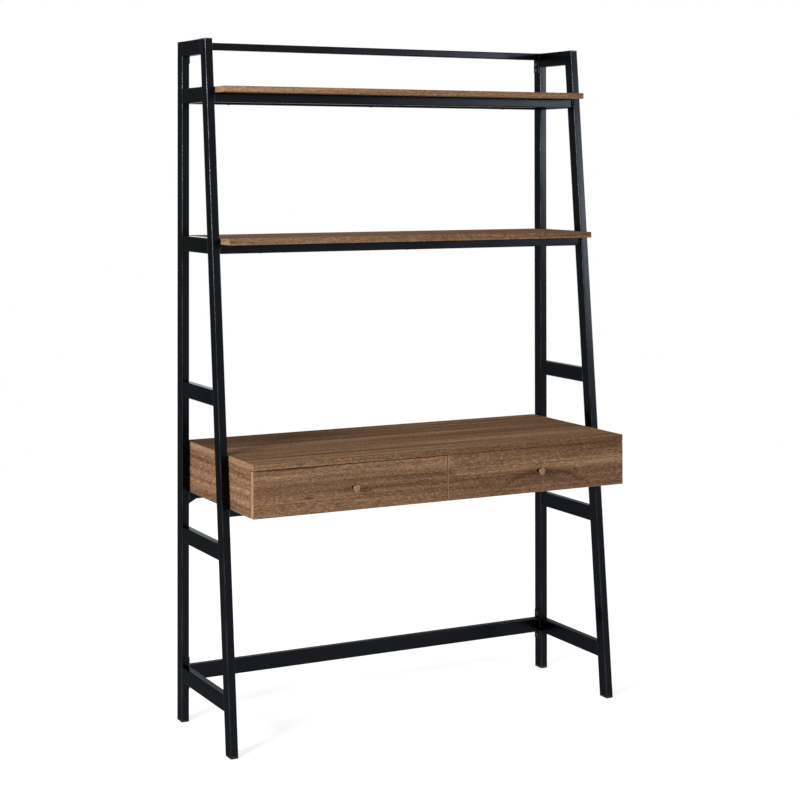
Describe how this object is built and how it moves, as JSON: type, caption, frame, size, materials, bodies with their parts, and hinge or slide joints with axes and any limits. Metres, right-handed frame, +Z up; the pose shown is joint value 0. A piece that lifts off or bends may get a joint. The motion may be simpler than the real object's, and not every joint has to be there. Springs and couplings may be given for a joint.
{
  "type": "ladder desk",
  "caption": "Tall ladder desk: leaning black steel side frames carry open walnut shelves above a shallow desk box with sliding drawers and round brass knobs.",
  "frame": {"origin": "on the floor, at the middle of the overall width and depth", "axes": "+Z up, +X to the right of the person sitting at the desk, +Y towards the rear posts, so the drawers open towards -Y"},
  "size_m": [1.18, 0.452, 1.829],
  "materials": {
    "powder_coated_steel": "fine satin-black powder coat",
    "black_plastic": "matte",
    "black_bolt_steel": "satin black-coated steel",
    "zinc_steel": "bright zinc-plated steel",
    "walnut_board": "satin walnut-grain laminated board",
    "drawer_board": "matte walnut-coloured laminated board",
    "knob_brass": "satin antique brass"
  },
  "bodies": {
    "desk_frame": {"left_rear_post": "powder_coated_steel", "right_rear_post": "powder_coated_steel", "left_front_post": "powder_coated_steel", "right_front_post": "powder_coated_steel", "left_rungs": "powder_coated_steel", "right_rungs": "powder_coated_steel", "post_caps": "powder_coated_steel", "top_rail": "powder_coated_steel", "upper_shelf_front_rail": "powder_coated_steel", "upper_shelf_rear_rail": "powder_coated_steel", "middle_shelf_front_rail": "powder_coated_steel", "middle_shelf_rear_rail": "powder_coated_steel", "desk_front_rail": "powder_coated_steel", "desk_rear_rail": "powder_coated_steel", "floor_rail": "powder_coated_steel", "top_rail_end_plates": "powder_coated_steel", "floor_rail_end_plates": "powder_coated_steel", "shelf_rail_end_plates": "powder_coated_steel", "desk_rail_end_plates": "powder_coated_steel", "desk_rail_gussets": "powder_coated_steel", "foot_glides": "black_plastic", "button_head_bolts": "black_bolt_steel", "flat_head_bolts": "black_bolt_steel", "board_screws": "black_bolt_steel", "thread_inserts": "zinc_steel", "wall_runners": "zinc_steel", "wall_runner_screws": "zinc_steel", "desk_cam_fittings": "zinc_steel", "upper_shelf": "walnut_board", "middle_shelf": "walnut_board", "desk_top": "walnut_board", "desk_left_panel": "walnut_board", "desk_right_panel": "walnut_board", "desk_divider": "walnut_board", "desk_floor": "walnut_board", "desk_back": "walnut_board"},
    "left_drawer": {"left_drawer_runners": "zinc_steel", "left_drawer_runner_screws": "zinc_steel", "left_knob_screw": "zinc_steel", "left_drawer_cam_fittings": "zinc_steel", "left_drawer_front": "walnut_board", "left_drawer_inner_side": "drawer_board", "left_drawer_outer_side": "drawer_board", "left_drawer_back": "drawer_board", "left_drawer_bottom": "drawer_board", "left_knob": "knob_brass"},
    "right_drawer": {"right_drawer_runners": "zinc_steel", "right_drawer_runner_screws": "zinc_steel", "right_knob_screw": "zinc_steel", "right_drawer_cam_fittings": "zinc_steel", "right_drawer_front": "walnut_board", "right_drawer_inner_side": "drawer_board", "right_drawer_outer_side": "drawer_board", "right_drawer_back": "drawer_board", "right_drawer_bottom": "drawer_board", "right_knob": "knob_brass"},
    "left_ball_cages": {"left_ball_cages": "zinc_steel"},
    "right_ball_cages": {"right_ball_cages": "zinc_steel"}
  },
  "joints": [
    {"name": "left_drawer_slide", "type": "slide", "parent": "desk_frame", "child": "left_drawer", "axis": [0, -1, 0], "range_m": [0, 0.25]},
    {"name": "left_cage_slide", "type": "slide", "parent": "desk_frame", "child": "left_ball_cages", "axis": [0, -1, 0], "range_m": [0, 0.125]},
    {"name": "right_drawer_slide", "type": "slide", "parent": "desk_frame", "child": "right_drawer", "axis": [0, -1, 0], "range_m": [0, 0.25]},
    {"name": "right_cage_slide", "type": "slide", "parent": "desk_frame", "child": "right_ball_cages", "axis": [0, -1, 0], "range_m": [0, 0.125]}
  ],
  "couplings": [
    {"joint": "left_cage_slide", "follows": "left_drawer_slide", "ratio": 0.5},
    {"joint": "right_cage_slide", "follows": "right_drawer_slide", "ratio": 0.5}
  ]
}
